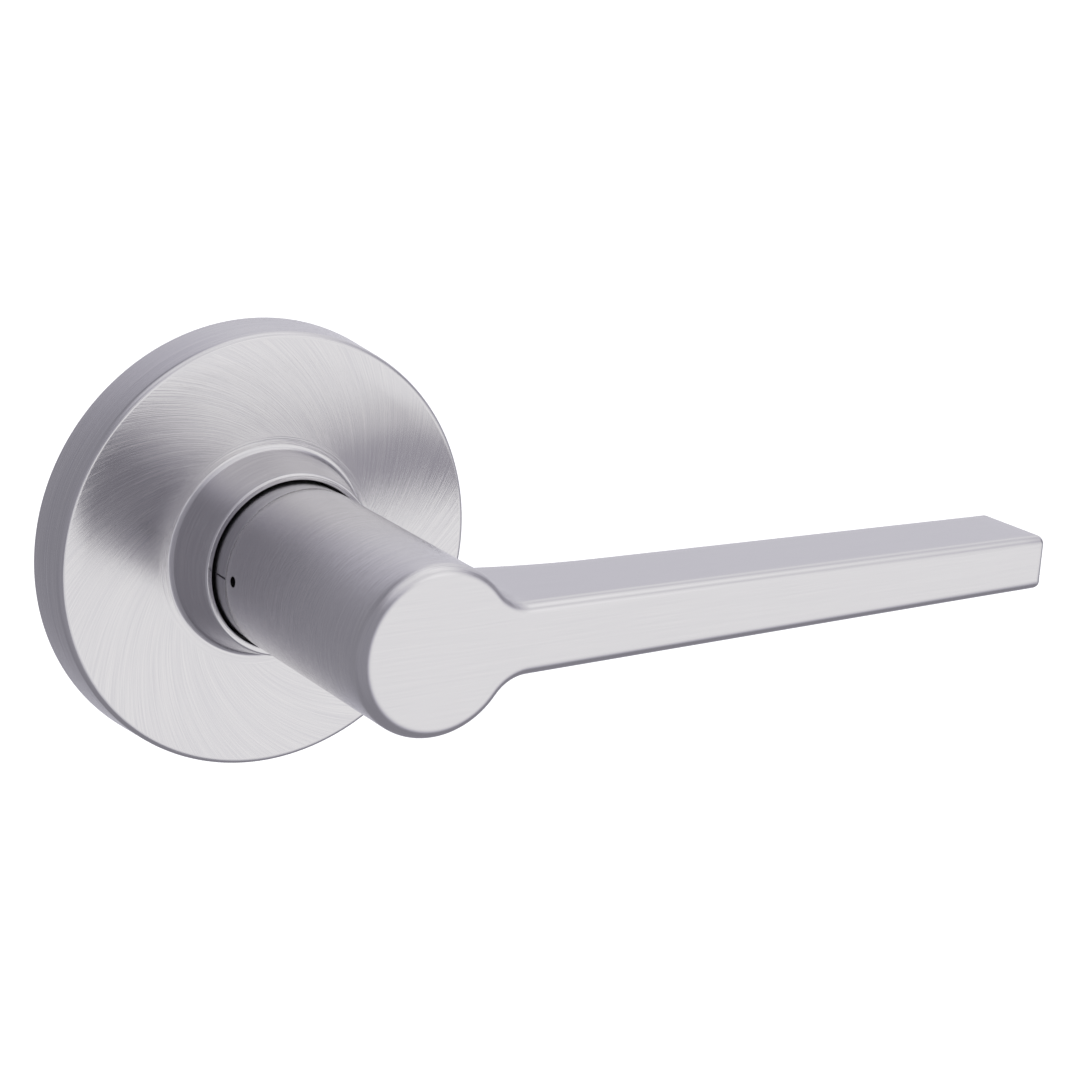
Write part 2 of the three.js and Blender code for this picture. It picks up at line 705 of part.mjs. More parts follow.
// Steel sleeve pressed into the rear of the lever. Its flats carry the turning.
function makeSleeve() {
  const sleeveRear = shoulderFront + 2 * seatGap;
  const sleeveFront = seamOut - seatGap;
  const spigotFront = seamOut + spigotLength;
  const wide = leverBore + 1;
  const flats = tubeFlatHalf + runningGap;
  let sleeve = turned([
    [0, sleeveRear],
    [sleeveRadius, sleeveRear],
    [sleeveRadius, sleeveFront],
    [spigotRadius, sleeveFront],
    [spigotRadius, spigotFront],
    [0, spigotFront],
  ]);
  const bore = disc(leverBore, sleeveRear - 1, spigotFront + 1);
  const keyed = box(-wide, wide, sleeveRear - 2, spigotFront + 2, -flats, flats);
  sleeve = sleeve.subtract(bore.intersect(keyed));
  return sleeve.subtract(radialBar(catchRadius + runningGap, 0, hubRearRadius, releaseAngle, releaseOut));
}
add("hub_sleeve", makeSleeve(), sleeveChrome);

// ---- spindle ----
const plugRadius = tubeInnerRadius - seatGap;
const plugRear = tubeRearOut + tubeTail;
const plugFront = plugRear + plugLength;
const spindleHalf = spindleWidth / 2;

function makePlug() {
  const half = spindleHalf + seatGap;
  const slot = box(-half, half, plugRear - 1, plugFront + 1, -half, half);
  return disc(plugRadius, plugRear, plugFront).subtract(slot).subtract(spindlePinHole(plugRadius + 1));
}
add("drive_plug", makePlug(), castZinc);

function makeSpindle() {
  const bar = box(-spindleHalf, spindleHalf, -spindleReach, spindleInTube, -spindleHalf, spindleHalf);
  const corner = spindleHalf * Math.SQRT2;
  const wide = corner + spindleChamfer;
  const nose = turned([
    [0, -spindleReach - spindleChamfer],
    [corner - 2 * spindleChamfer, -spindleReach - spindleChamfer],
    [wide, -spindleReach + 2 * spindleChamfer],
    [wide, spindleInTube + spindleChamfer],
    [0, spindleInTube + spindleChamfer],
  ]);
  return bar.intersect(nose).subtract(spindlePinHole(plugRadius + 1));
}
add("torque_spindle", makeSpindle(), zincSteel);
const pinReach = tubeOuterRadius - seatGap;
add("spindle_pin", radialBar(spindlePinRadius, -pinReach, pinReach, 90, -spindlePinDepth), springSteel);

// ---- lever catch ----
// Turned about its own axis: a nose through tube and sleeve, and a head inside the tube.
const catchNose = spigotRadius - 3 * seatGap; // how far from the spindle axis the nose reaches
const catchHeadTop = tubeInnerRadius - catchHeadRadius ** 2 / (2 * tubeInnerRadius) - 2 * seatGap;
const catchHeadBase = catchHeadTop - catchHeadHeight;

function makeCatch() {
  const profile = [
    [0, catchHeadBase],
    [catchHeadRadius, catchHeadBase],
    [catchHeadRadius, catchHeadTop],
    [catchRadius, catchHeadTop],
    [catchRadius, catchNose - catchNoseChamfer],
    [catchRadius - catchNoseChamfer, catchNose],
    [0, catchNose],
  ];
  const points = profile.map(([radius, reach]) => new THREE.Vector2(radius, reach));
  const geometry = new THREE.LatheGeometry(points, smallSteps);
  geometry.rotateZ(-Math.PI / 2);
  geometry.rotateY(-toRadians(releaseAngle));
  geometry.translate(0, -releaseOut, 0);
  return solid(geometry);
}
add("lever_catch", makeCatch(), springSteel);

// Small compression spring from the catch's head to the far wall of the tube.
class CatchSpringCurve extends THREE.Curve {
  getPoint(t) {
    const high = catchHeadBase - catchSpringWire / 2 - seatGap;
    const wallReach = tubeInnerRadius - catchSpringRadius ** 2 / (2 * tubeInnerRadius);
    const low = catchSpringWire + seatGap - wallReach;
    const turn = 2 * Math.PI * catchSpringTurns * t;
    const reach = low + (high - low) * t;
    const point = new THREE.Vector3(catchSpringRadius, 0, 0).applyAxisAngle(new THREE.Vector3(0, 0, 1), turn);
    point.set(reach, point.x, point.y);
    point.applyAxisAngle(new THREE.Vector3(0, 1, 0), -toRadians(releaseAngle));
    return point.add(new THREE.Vector3(0, -releaseOut, 0));
  }
}
add("catch_spring", wire(new CatchSpringCurve(), catchSpringWire, catchSpringTurns * 12, 6), springSteel);

export default group;
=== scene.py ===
import json
import math

import bmesh
import bpy
from mathutils import Matrix, Vector

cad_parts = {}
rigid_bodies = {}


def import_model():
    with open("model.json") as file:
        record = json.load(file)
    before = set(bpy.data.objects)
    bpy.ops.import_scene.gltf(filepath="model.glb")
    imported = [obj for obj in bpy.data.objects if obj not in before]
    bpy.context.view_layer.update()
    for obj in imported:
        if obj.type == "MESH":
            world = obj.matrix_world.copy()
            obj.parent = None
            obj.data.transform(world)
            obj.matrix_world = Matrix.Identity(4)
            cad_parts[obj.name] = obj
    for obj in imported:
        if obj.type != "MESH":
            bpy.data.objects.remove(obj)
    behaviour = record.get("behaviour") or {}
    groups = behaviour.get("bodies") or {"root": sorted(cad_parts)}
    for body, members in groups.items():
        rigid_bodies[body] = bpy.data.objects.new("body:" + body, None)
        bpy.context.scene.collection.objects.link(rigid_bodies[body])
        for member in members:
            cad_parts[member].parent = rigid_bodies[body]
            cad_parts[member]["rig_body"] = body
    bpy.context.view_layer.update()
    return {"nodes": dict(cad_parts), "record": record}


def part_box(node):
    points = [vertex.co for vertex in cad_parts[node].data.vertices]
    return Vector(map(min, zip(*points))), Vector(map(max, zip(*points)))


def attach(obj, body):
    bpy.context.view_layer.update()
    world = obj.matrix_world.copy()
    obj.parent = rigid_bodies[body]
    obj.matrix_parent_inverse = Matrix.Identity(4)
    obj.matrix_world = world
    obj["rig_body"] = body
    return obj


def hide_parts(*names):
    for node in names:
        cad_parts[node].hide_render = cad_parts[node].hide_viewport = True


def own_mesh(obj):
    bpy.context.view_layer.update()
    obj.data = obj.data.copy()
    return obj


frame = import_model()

nodes = frame["nodes"]
scene = bpy.context.scene
mm = 0.001
print("frame loaded:", len(nodes), "nodes")


# One output socket of a node, so that maths on it can be written as an expression.
class Wire:
    def __init__(self, tree, socket=None):
        self.tree = tree
        self.socket = socket

    def node(self, kind, settings=None, inputs=None, output=0):
        made = self.tree.nodes.new(kind)
        for name, value in (settings or {}).items():
            setattr(made, name, value)
        for key, value in (inputs or {}).items():
            if isinstance(value, Wire):
                self.tree.links.new(value.socket, made.inputs[key])
            else:
                made.inputs[key].default_value = value
        return Wire(self.tree, made.outputs[output])

    def math(self, operation, *values):
        return self.node("ShaderNodeMath", {"operation": operation}, dict(enumerate(values)))

    def vector(self, operation, *values):
        return self.node("ShaderNodeVectorMath", {"operation": operation}, dict(enumerate(values)))

    def __add__(self, other):
        return self.math("ADD", self, other)

    def __radd__(self, other):
        return self.math("ADD", other, self)

    def __sub__(self, other):
        return self.math("SUBTRACT", self, other)

    def __rsub__(self, other):
        return self.math("SUBTRACT", other, self)

    def __mul__(self, other):
        return self.math("MULTIPLY", self, other)

    def __rmul__(self, other):
        return self.math("MULTIPLY", other, self)

    def __truediv__(self, other):
        return self.math("DIVIDE", self, other)

    def __rtruediv__(self, other):
        return self.math("DIVIDE", other, self)

    def __pow__(self, other):
        return self.math("POWER", self, other)

    def __neg__(self):
        return self.math("MULTIPLY", self, -1.0)

    def cosine(self):
        return self.math("COSINE", self)

    def sine(self):
        return self.math("SINE", self)

    # 0 below low, 1 above high, smooth between.
    def ramp(self, low, high):
        settings = {"interpolation_type": "SMOOTHSTEP"}
        inputs = {"Value": self, "From Min": low, "From Max": high}
        return self.node("ShaderNodeMapRange", settings, inputs)

    def parts(self):
        return [self.node("ShaderNodeSeparateXYZ", {}, {0: self}, i) for i in range(3)]

    def joined(self, x, y, z):
        return self.node("ShaderNodeCombineXYZ", {}, {0: x, 1: y, 2: z})


def newMaterial(name, build):
    material = bpy.data.materials.new(name)
    material.use_nodes = True
    tree = material.node_tree
    tree.nodes.clear()
    start = Wire(tree)
    place = start.node("ShaderNodeTexCoord", {}, {}, 3)
    place = place.vector("MULTIPLY", place, (1 / mm, 1 / mm, 1 / mm))
    shader = build(place)
    end = tree.nodes.new("ShaderNodeOutputMaterial")
    tree.links.new(shader.socket, end.inputs["Surface"])
    return material


def noise(start, where, scale, detail=2.0, rough=0.5):
    inputs = {"Vector": where, "Scale": scale, "Detail": detail, "Roughness": rough}
    return start.node("ShaderNodeTexNoise", {}, inputs)


def mixed(start, factor, first, second):
    inputs = {0: factor, 6: first, 7: second}
    return start.node("ShaderNodeMix", {"data_type": "RGBA"}, inputs, 2)


def metalShader(start, color, roughness, height, distance, strength=1.0):
    inputs = {"Height": height, "Distance": distance, "Strength": strength}
    normal = start.node("ShaderNodeBump", {}, inputs)
    inputs = {"Base Color": color, "Metallic": 1.0, "Roughness": roughness, "Normal": normal}
    return start.node("ShaderNodeBsdfPrincipled", {}, inputs)


# Fine streaks, from a place that is already stretched along them.
def streaks(start, where):
    return noise(start, where, 1.0, 3.0, 0.6)


# Streaks round the spindle axis, as a lathe leaves them.
def ringStreaks(place, width, length):
    x, y, z = place.parts()
    turn = place.math("ARCTAN2", z, x)
    reach = (x * x + z * z) ** 0.5
    around = 12 / length  # the length holds at the hub's radius of 12
    where = place.joined(turn.cosine() * around, turn.sine() * around, (y + reach) * width)
    return streaks(place, where)


# Streaks along the arm.
def armStreaks(place, width, length):
    x, y, z = place.parts()
    return streaks(place, place.joined(x / length, y * width, z * width))


# Streaks that lean away from the radius, as a turning brush leaves them on a disc.
def swirlStreaks(place, width, length, lean):
    x, y, z = place.parts()
    turn = place.math("ARCTAN2", z, x)
    reach = (x * x + z * z) ** 0.5
    lean = math.radians(lean)
    spiral = turn - place.math("LOGARITHM", reach, math.e) * math.tan(lean)
    across = width * 25 * math.cos(lean)  # the width holds at 25 from the axis, mid face
    along = reach / (math.cos(lean) * length)
    return streaks(place, place.joined(spiral.cosine() * across, spiral.sine() * across, along))


# Widths are streaks to the millimetre, lengths and reaches are millimetres, depths are metres.
chrome = {
    "bright": (0.665, 0.653, 0.663, 1),
    "dull": (0.59, 0.579, 0.602, 1),
    "roughness": 0.17,
    "ringWidth": 6.0,
    "ringLength": 9.0,
}

roseGrain = {
    "swirlWidth": 9.0,
    "swirlLength": 14.0,
    "swirlLean": 50,  # degrees
    "faceStart": (17.2, 18.2),
    "faceEnd": (32.2, 32.8),
    "shades": (0.3, 0.7),
    "cloudScale": 0.12,
    "cloudGloss": 0.06,
    "streakGloss": 0.1,
    "faceDepth": 0.000016,
    "collarDepth": 0.000032,
}


def roseFinish(place):
    x, y, z = place.parts()
    reach = (x * x + z * z) ** 0.5
    swirl = swirlStreaks(place, roseGrain["swirlWidth"], roseGrain["swirlLength"], roseGrain["swirlLean"])
    ring = ringStreaks(place, chrome["ringWidth"], chrome["ringLength"])
    face = reach.ramp(*roseGrain["faceStart"]) * (1 - reach.ramp(*roseGrain["faceEnd"]))
    streak = swirl * face + ring * (1 - face)
    cloud = noise(place, place, roseGrain["cloudScale"])
    color = mixed(place, streak.ramp(*roseGrain["shades"]), chrome["dull"], chrome["bright"])
    roughness = chrome["roughness"] + (cloud - 0.5) * roseGrain["cloudGloss"]
    roughness = roughness + (streak - 0.5) * roseGrain["streakGloss"]
    depth = roseGrain["faceDepth"] * face + roseGrain["collarDepth"] * (1 - face)
    return metalShader(place, color, roughness, streak, depth)


leverGrain = {
    "armWidth": 8.0,
    "armLength": 14.0,
    "hubEnd": (13.0, 16.0),
    "frontFacing": (0.75, 0.95),  # how squarely the front face looks forwards
    "shades": (0.25, 0.75),
    "armContrast": 0.35,
    "cloudScale": 0.15,
    "cloudGloss": 0.08,
    "streakGloss": 0.08,
    "hubDepth": 0.000035,
    "armDepth": 0.000004,
}


def leverFinish(place):
    x, y, z = place.parts()
    normal = place.node("ShaderNodeNewGeometry", {}, {}, 1)
    facing = place.math("ABSOLUTE", normal.parts()[1])
    onHub = (1 - x.ramp(*leverGrain["hubEnd"])) * (1 - facing.ramp(*leverGrain["frontFacing"]))
    ring = ringStreaks(place, chrome["ringWidth"], chrome["ringLength"])
    arm = armStreaks(place, leverGrain["armWidth"], leverGrain["armLength"])
    streak = ring * onHub + arm * (1 - onHub)
    cloud = noise(place, place, leverGrain["cloudScale"])
    contrast = leverGrain["armContrast"] + (1 - leverGrain["armContrast"]) * onHub
    shade = (streak - 0.5) * contrast + 0.5
    color = mixed(place, shade.ramp(*leverGrain["shades"]), chrome["dull"], chrome["bright"])
    roughness = chrome["roughness"] + (cloud - 0.5) * leverGrain["cloudGloss"]
    roughness = roughness + (shade - 0.5) * leverGrain["streakGloss"]
    depth = leverGrain["hubDepth"] * onHub + leverGrain["armDepth"] * (1 - onHub)
    return metalShader(place, color, roughness, streak, depth)


sleeveGrain = {
    "dull": (0.5, 0.49, 0.515, 1),
    "bright": (0.6, 0.59, 0.61, 1),
    "shades": (0.3, 0.7),
    "roughness": 0.3,
    "width": 8.0,
    "length": 9.0,
    "gloss": 0.1,
    "depth": 0.00002,
}


def sleeveFinish(place):
    streak = ringStreaks(place, sleeveGrain["width"], sleeveGrain["length"])
    color = mixed(place, streak.ramp(*sleeveGrain["shades"]), sleeveGrain["dull"], sleeveGrain["bright"])
    roughness = sleeveGrain["roughness"] + (streak - 0.5) * sleeveGrain["gloss"]
    return metalShader(place, color, roughness, streak, sleeveGrain["depth"])


# Metal with soft patches of two shades under a fine grit.
def patchedMetal(place, look):
    patches = noise(place, place, look["patchScale"], 3.0)
    grit = noise(place, place, *look["grit"])
    color = mixed(place, patches.ramp(*look["shades"]), look["dull"], look["bright"])
    roughness = look["roughness"] + (patches - 0.5) * look["gloss"]
    return metalShader(place, color, roughness, grit, look["depth"])


zinc = {
    "dull": (0.5, 0.51, 0.5, 1),
    "bright": (0.63, 0.64, 0.62, 1),
    "shades": (0.35, 0.65),
    "roughness": 0.34,
    "patchScale": 0.35,
    "grit": (4.0, 4.0, 0.65),  # scale, detail and roughness of the noise
    "gloss": 0.2,
    "depth": 0.00003,
}


def zincFinish(place):
    return patchedMetal(place, zinc)


springSteel = {
    "dull": (0.2, 0.2, 0.21, 1),
    "bright": (0.33, 0.32, 0.32, 1),
    "shades": (0.3, 0.7),
    "roughness": 0.32,
    "patchScale": 0.8,
    "grit": (5.0, 3.0, 0.5),
    "gloss": 0.15,
    "depth": 0.00002,
}


def springFinish(place):
    return patchedMetal(place, springSteel)


cast = {
    "dull": (0.4, 0.41, 0.42, 1),
    "bright": (0.55, 0.55, 0.56, 1),
    "shades": (0.35, 0.65),
    "roughness": 0.45,
    "grit": (2.5, 5.0, 0.7),
    "gloss": 0.2,
    "depth": 0.00006,
}


def castFinish(place):
    grit = noise(place, place, *cast["grit"])
    color = mixed(place, grit.ramp(*cast["shades"]), cast["dull"], cast["bright"])
    return metalShader(place, color, cast["roughness"] + (grit - 0.5) * cast["gloss"], grit, cast["depth"])


nylon = {
    "dark": (0.012, 0.012, 0.014, 1),
    "pale": (0.022, 0.022, 0.025, 1),
    "shades": (0.3, 0.7),
    "cloudScale": 0.3,
    "roughness": 0.45,
    "gritScale": 3.0,
    "gloss": 0.2,
    "depth": 0.00003,
}


def nylonFinish(place):
    grit = noise(place, place, nylon["gritScale"], 3.0)
    cloud = noise(place, place, nylon["cloudScale"])
    color = mixed(place, cloud.ramp(*nylon["shades"]), nylon["dark"], nylon["pale"])
    normal = place.node("ShaderNodeBump", {}, {"Height": grit, "Distance": nylon["depth"]})
    roughness = nylon["roughness"] + (grit - 0.5) * nylon["gloss"]
    inputs = {"Base Color": color, "Roughness": roughness, "Normal": normal}
    return place.node("ShaderNodeBsdfPrincipled", {}, inputs)


finishes = {
    "satin_chrome_rose": newMaterial("satinChromeRose", roseFinish),
    "satin_chrome_lever": newMaterial("satinChromeLever", leverFinish),
    "satin_chrome_sleeve": newMaterial("satinChromeSleeve", sleeveFinish),
    "zinc_plate": newMaterial("zincPlate", zincFinish),
    "spring_steel": newMaterial("springSteel", springFinish),
    "cast_zinc": newMaterial("castZinc", castFinish),
    "nylon": newMaterial("mouldedNylon", nylonFinish),
}
slotOf = {part["node"]: part["material_slot"] for part in frame["record"]["subparts"]}
for name, part in nodes.items():
    part.data.materials.clear()
    part.data.materials.append(finishes[slotOf[name]])
print("finishes:", len(finishes))


def bodyOf(node):
    return nodes[node]["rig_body"]


# Puts a finished mesh in place of the CAD nodes it stands for.
def addPiece(name, mesh, *replaced, smoothAngle=35):
    piece = bpy.data.objects.new(name, mesh)
    scene.collection.objects.link(piece)
    mesh.materials.clear()
    mesh.materials.append(finishes[slotOf[replaced[0]]])
    mesh.shade_smooth()
    mesh.set_sharp_from_angle(angle=math.radians(smoothAngle))
    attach(piece, bodyOf(replaced[0]))
    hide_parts(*replaced)
    return piece


# Joins points that meet, drops what has no face and turns the faces outwards.
def cleaned(mesh, reach=1e-7):
    shape = bmesh.new()
    shape.from_mesh(mesh)
    bmesh.ops.remove_doubles(shape, verts=shape.verts, dist=reach)
    bmesh.ops.dissolve_degenerate(shape, dist=reach, edges=shape.edges)
    loose = [edge for edge in shape.edges if not edge.link_faces]
    bmesh.ops.delete(shape, geom=loose, context="EDGES")
    bmesh.ops.recalc_face_normals(shape, faces=shape.faces)
    shape.to_mesh(mesh)
    shape.free()
    return mesh


def meshFrom(name, points, faces):
    mesh = bpy.data.meshes.new(name)
    mesh.from_pydata([Vector(p) * mm for p in points], [], faces)
    return cleaned(mesh)


# A closed profile of (radius, out) points in millimetres, turned about the spindle axis.
def turnedMesh(name, profile, steps=180):
    points = []
    faces = []
    count = len(profile)
    for i in range(steps):
        turn = 2 * math.pi * i / steps
        points += [(r * math.cos(turn), -out, r * math.sin(turn)) for r, out in profile]
    for i in range(steps):
        for k in range(count):
            a, b = i * count + k, i * count + (k + 1) % count
            c, d = (i + 1) % steps * count + (k + 1) % count, (i + 1) % steps * count + k
            faces.append((a, b, c, d))
    return meshFrom(name, points, faces)


def cutMesh(mesh, cutter, operation="DIFFERENCE"):
    first = bpy.data.objects.new("first", mesh)
    second = bpy.data.objects.new("second", cutter)
    for made in (first, second):
        scene.collection.objects.link(made)
    modifier = first.modifiers.new("cut", "BOOLEAN")
    modifier.operation = operation
    modifier.solver = "EXACT"
    modifier.object = second
    graph = bpy.context.evaluated_depsgraph_get()
    result = bpy.data.meshes.new_from_object(first.evaluated_get(graph), depsgraph=graph)
    result.name = mesh.name + "Cut"
    bpy.data.objects.remove(first)
    bpy.data.objects.remove(second)
    return cleaned(result, 3e-6)


# A round bar as a cutter, between two points in millimetres.
def barMesh(radius, start, end, steps=40):
    start, end = Vector(start), Vector(end)
    axis = end - start
    shape = bmesh.new()
    length = axis.length
    turn = axis.to_track_quat("Z", "Y").to_matrix().to_4x4()
    matrix = Matrix.Translation((start + end) / 2 * mm) @ turn
    sizes = {"segments": steps, "radius1": radius * mm, "radius2": radius * mm, "depth": length * mm}
    bmesh.ops.create_cone(shape, cap_ends=True, matrix=matrix, **sizes)
    mesh = bpy.data.meshes.new("bar")
    shape.to_mesh(mesh)
    shape.free()
    return mesh


def newTree(name, sizes):
    tree = bpy.data.node_groups.new(name, "GeometryNodeTree")
    tree.interface.new_socket("Geometry", in_out="OUTPUT", socket_type="NodeSocketGeometry")
    for size, value in sizes.items():
        whole = isinstance(value, int)
        kind = "NodeSocketInt" if whole else "NodeSocketFloat"
        socket = tree.interface.new_socket(size, in_out="INPUT", socket_type=kind)
        socket.default_value = value
    given = tree.nodes.new("NodeGroupInput")
    wires = {size: Wire(tree, given.outputs[size]) for size in sizes}
    return tree, Wire(tree), wires


def finishTree(start, geometry, finish):
    real = start.node("GeometryNodeRealizeInstances", {}, {0: geometry})
    done = start.node("GeometryNodeSetMaterial", {}, {"Geometry": real, "Material": finish})
    end = start.tree.nodes.new("NodeGroupOutput")
    start.tree.links.new(done.socket, end.inputs[0])


# The plain mesh that a tree makes with these sizes.
def grownMesh(name, tree, sizes):
    holder = bpy.data.objects.new(name + "Source", bpy.data.meshes.new(name + "Source"))
    scene.collection.objects.link(holder)
    modifier = holder.modifiers.new("shape", "NODES")
    modifier.node_group = tree
    for item in tree.interface.items_tree:
        if item.item_type == "SOCKET" and item.in_out == "INPUT":
            modifier[item.identifier] = sizes[item.name]
    graph = bpy.context.evaluated_depsgraph_get()
    mesh = bpy.data.meshes.new_from_object(holder.evaluated_get(graph), depsgraph=graph)
    mesh.name = name
    bpy.data.objects.remove(holder)
    return cleaned(mesh)


# Turns a closed profile about the spindle axis: its corners are (radius, out, fillet).
def turnedByNodes(start, corners, steps, filletSteps=10):
    index = start.node("GeometryNodeInputIndex", {}, {})

    def chosen(values, kind):
        made = start.tree.nodes.new("GeometryNodeIndexSwitch")
        made.data_type = kind
        while len(made.index_switch_items) < len(values):
            made.index_switch_items.new()
        start.tree.links.new(index.socket, made.inputs[0])
        for i, value in enumerate(values):
            if isinstance(value, Wire):
                start.tree.links.new(value.socket, made.inputs[i + 1])
            else:
                made.inputs[i + 1].default_value = value
        return Wire(start.tree, made.outputs[0])

    line = start.node("GeometryNodeMeshLine", {}, {"Count": len(corners)})
    places = chosen([start.joined(radius, out, 0.0) for radius, out, fillet in corners], "VECTOR")
    line = start.node("GeometryNodeSetPosition", {}, {"Geometry": line, "Position": places})
    line = start.node("GeometryNodeMeshToCurve", {}, {0: line})
    line = start.node("GeometryNodeSetSplineCyclic", {}, {"Geometry": line, "Cyclic": True})
    fillets = chosen([fillet for radius, out, fillet in corners], "FLOAT")
    inputs = {"Curve": line, "Radius": fillets, "Count": filletSteps, "Limit Radius": True}
    line = start.node("GeometryNodeFilletCurve", {"mode": "POLY"}, inputs)
    count = start.node("GeometryNodeAttributeDomainSize", {"component": "CURVE"}, {0: line})
    # A grid with one row for each point of the profile and one more that closes it.
    inputs = {"Vertices X": count + 1, "Vertices Y": steps + 1}
    grid = start.node("GeometryNodeMeshGrid", {}, inputs)
    row = start.math("FLOOR", index / (steps + 1))
    column = index - row * (steps + 1)
    row = start.math("MODULO", row, count)
    turn = column * (2 * math.pi) / steps
    position = start.node("GeometryNodeInputPosition", {}, {})
    settings = {"data_type": "FLOAT_VECTOR", "domain": "POINT"}
    inputs = {"Geometry": line, "Value": position, "Index": row}
    radius, out, flat = start.node("GeometryNodeSampleIndex", settings, inputs).parts()
    where = start.joined(radius * turn.cosine(), -out, radius * turn.sine())
    grid = start.node("GeometryNodeSetPosition", {}, {"Geometry": grid, "Position": where})
    return start.node("GeometryNodeMergeByDistance", {}, {"Geometry": grid, "Distance": 1e-6})


rose = {
    "Rim radius": 33.35,
    "Rim height": 8.3,
    "Rim draft": 0.6,
    "Dish": 0.65,
    "Wall": 1.0,
    "Edge fillet": 0.9,
    "Collar radius": 13.9,
    "Collar height": 15.4,
    "Collar taper": 1.9,
    "Fold fillet": 0.9,
}

# Fillets and the lowest place of the dish, as shares of the sizes they go with.
roseShares = {
    "lipOutside": 0.35,
    "lipInside": 0.2,
    "foldInside": 0.5,
    "edgeInside": 0.4,
    "dip": 0.75,
}


def roseTree():
    tree, start, size = newTree("roseShape", rose)
    for name in rose:
        size[name] = size[name] * mm
    rim, height, wall = size["Rim radius"], size["Rim height"], size["Wall"]
    collar, top = size["Collar radius"], size["Collar height"]
    foot = collar + size["Collar taper"]
    low = height - size["Dish"]
    middle = (rim + foot) / 2
    dip = height - roseShares["dip"] * size["Dish"]
    fold = size["Fold fillet"]
    edge = size["Edge fillet"]
    bend = 0.25  # metres: the face is nearly flat
    corners = [
        (rim + size["Rim draft"], 0.0, 0.0),
        (rim, height, edge),
        (middle, dip, bend),
        (foot, low, fold),
        (collar, top, wall * roseShares["lipOutside"]),
        (collar - wall, top, wall * roseShares["lipInside"]),
        (foot - wall, low - wall, fold * roseShares["foldInside"]),
        (middle, dip - wall, bend),
        (rim - wall, height - wall, edge * roseShares["edgeInside"]),
        (rim + size["Rim draft"] - wall, 0.0, 0.0),
    ]
    finishTree(start, turnedByNodes(start, corners, 256), finishes["satin_chrome_rose"])
    return tree


addPiece("roseShell", grownMesh("roseShell", roseTree(), rose), "rose", smoothAngle=30)
print("rose made")


lever = {
    "front": 58.65,
    "seam": 18.8,
    "hubFront": 12.25,
    "hubRear": 12.65,
    "fillet": 2.0,
    "reach": 109.05,
    "rootX": 20.0,
    "rootHalf": 5.2,
    "tipHalf": 4.3,
    "rootDepth": 16.15,
    "tipDepth": 13.95,
    "flare": 1.05,
    "flareEnd": 34.0,
    "blend": 6.0,
    "tipFillet": 1.8,
    "corner": 1.2,
    "backFillet": 0.45,
    "seamEdge": 0.15,
    "spigotRadius": 10.7,
    "spigotEnd": 27.4,
    "boreRadius": 8.55,
    "boreEnd": 47.0,
    "releaseOut": 21.4,
    "releaseAngle": 176.5,
    "releaseRadius": 0.8,
    "releaseReach": (9.6, 14.0),  # from inside the bore to outside the hub
}


def backDepth(x):
    share = (x - lever["rootX"]) / (lever["reach"] - lever["rootX"])
    depth = lever["rootDepth"] + (lever["tipDepth"] - lever["rootDepth"]) * share
    flare = max(0, (lever["flareEnd"] - x) / (lever["flareEnd"] - lever["rootX"]))
    return depth + lever["flare"] * flare**2


def hubRadius(depth):
    widening = lever["hubRear"] - lever["hubFront"]
    return lever["hubFront"] + widening * depth / (lever["front"] - lever["seam"])


# A point of the outline's upper half at some depth behind the front, moved inwards by inset.
def outlinePoint(kind, t, depth, inset, tipInset):
    radius, blend, reach = hubRadius(depth), lever["blend"], lever["reach"]
    slope = (lever["rootHalf"] - lever["tipHalf"]) / (reach - lever["rootX"])
    lean = math.atan(slope)
    away = radius + blend
    edgeAtAxis = lever["rootHalf"] + slope * lever["rootX"]
    direction = math.asin((edgeAtAxis * math.cos(lean) + blend) / away) - lean
    centreX, centreZ = away * math.cos(direction), away * math.sin(direction)
    if kind == "hub":
        turn = math.pi + (direction - math.pi) * t
        return (radius - inset) * math.cos(turn), (radius - inset) * math.sin(turn)
    blendEnd = 1.5 * math.pi - lean
    if kind == "under":  # beside the hub, level with the hub's own points
        turn = math.pi + math.acos((centreX - radius * math.cos(direction * (1 - t))) / blend)
        return centreX + (blend + inset) * math.cos(turn), centreZ + (blend + inset) * math.sin(turn)
    if kind == "blend":
        first = math.pi + math.acos((centreX - radius) / blend)
        turn = first + (blendEnd - first) * t
        return centreX + (blend + inset) * math.cos(turn), centreZ + (blend + inset) * math.sin(turn)
    start = centreX + (blend + inset) * math.cos(blendEnd)
    roundX, roundZ = max(lever["corner"] - tipInset, 0), max(lever["corner"] - inset, 0)
    end = reach - tipInset - roundX
    x = start + (end - start) * t if kind == "edge" else end
    high = lever["rootHalf"] - slope * (x - lever["rootX"]) - inset / math.cos(lean)
    if kind == "edge":
        return x, high
    turn = math.pi / 2 * (1 - t)
    return x + roundX * math.cos(turn), high - roundZ + roundZ * math.sin(turn)


